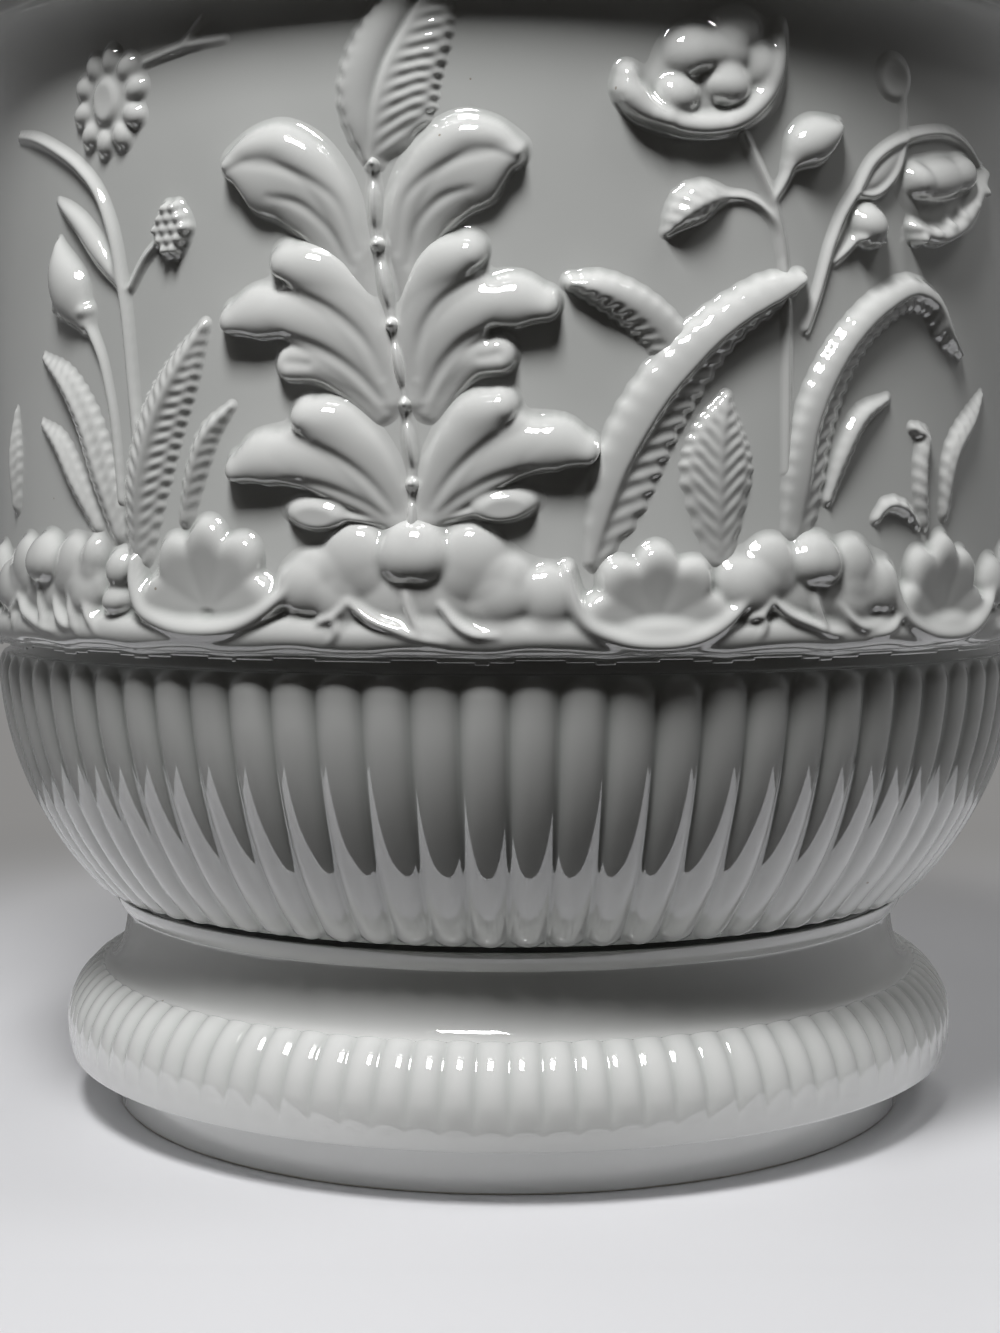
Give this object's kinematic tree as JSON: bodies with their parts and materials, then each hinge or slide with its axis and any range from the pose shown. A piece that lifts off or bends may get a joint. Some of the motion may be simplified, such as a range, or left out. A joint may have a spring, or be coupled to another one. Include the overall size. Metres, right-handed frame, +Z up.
{
  "type": "flower pot on stand",
  "caption": "Round glazed porcelain flower pot with a reeded bowl, moulded plants on its wall and a rolled rim, standing loose in a low stand with a reeded roll and a drip dish.",
  "frame": {"origin": "on the table, at the axis of the pot and stand", "axes": "+Z up along the axis; -Y out of the front, at the middle of the first panel of plants"},
  "size_m": [0.321, 0.321, 0.2992],
  "materials": {
    "stand_porcelain": "gloss",
    "pot_porcelain": "gloss",
    "relief_porcelain": "gloss"
  },
  "bodies": {
    "stand": {"stand": "stand_porcelain"},
    "pot": {"pot": "pot_porcelain", "acanthus_plume_1": "relief_porcelain", "acanthus_plume_2": "relief_porcelain", "acanthus_plume_3": "relief_porcelain", "acanthus_stem_1": "relief_porcelain", "acanthus_stem_2": "relief_porcelain", "acanthus_stem_3": "relief_porcelain", "arched_frond_1": "relief_porcelain", "arched_frond_2": "relief_porcelain", "arched_frond_3": "relief_porcelain", "bell_stem_1": "relief_porcelain", "bell_stem_2": "relief_porcelain", "bell_stem_3": "relief_porcelain", "berry_stem_1": "relief_porcelain", "berry_stem_2": "relief_porcelain", "berry_stem_3": "relief_porcelain", "broad_fern_1": "relief_porcelain", "broad_fern_2": "relief_porcelain", "broad_fern_3": "relief_porcelain", "daisy_1": "relief_porcelain", "daisy_2": "relief_porcelain", "daisy_3": "relief_porcelain", "drooping_frond_1": "relief_porcelain", "drooping_frond_2": "relief_porcelain", "drooping_frond_3": "relief_porcelain", "ferns_1": "relief_porcelain", "ferns_2": "relief_porcelain", "ferns_3": "relief_porcelain", "lower_leaf_left_1": "relief_porcelain", "lower_leaf_left_2": "relief_porcelain", "lower_leaf_left_3": "relief_porcelain", "lower_leaf_right_1": "relief_porcelain", "lower_leaf_right_2": "relief_porcelain", "lower_leaf_right_3": "relief_porcelain", "middle_leaf_left_1": "relief_porcelain", "middle_leaf_left_2": "relief_porcelain", "middle_leaf_left_3": "relief_porcelain", "middle_leaf_right_1": "relief_porcelain", "middle_leaf_right_2": "relief_porcelain", "middle_leaf_right_3": "relief_porcelain", "palm_frond_1": "relief_porcelain", "palm_frond_2": "relief_porcelain", "palm_frond_3": "relief_porcelain", "rose_1": "relief_porcelain", "rose_2": "relief_porcelain", "rose_3": "relief_porcelain", "rose_stem_1": "relief_porcelain", "rose_stem_2": "relief_porcelain", "rose_stem_3": "relief_porcelain", "shell_border_1": "relief_porcelain", "shell_border_2": "relief_porcelain", "shell_border_3": "relief_porcelain", "upper_leaf_left_1": "relief_porcelain", "upper_leaf_left_2": "relief_porcelain", "upper_leaf_left_3": "relief_porcelain", "upper_leaf_right_1": "relief_porcelain", "upper_leaf_right_2": "relief_porcelain", "upper_leaf_right_3": "relief_porcelain"}
  },
  "joints": [
    {"name": "pot_lift", "type": "slide", "parent": "stand", "child": "pot", "axis": [0, 0, 1], "range_m": [0, 0.12]}
  ]
}
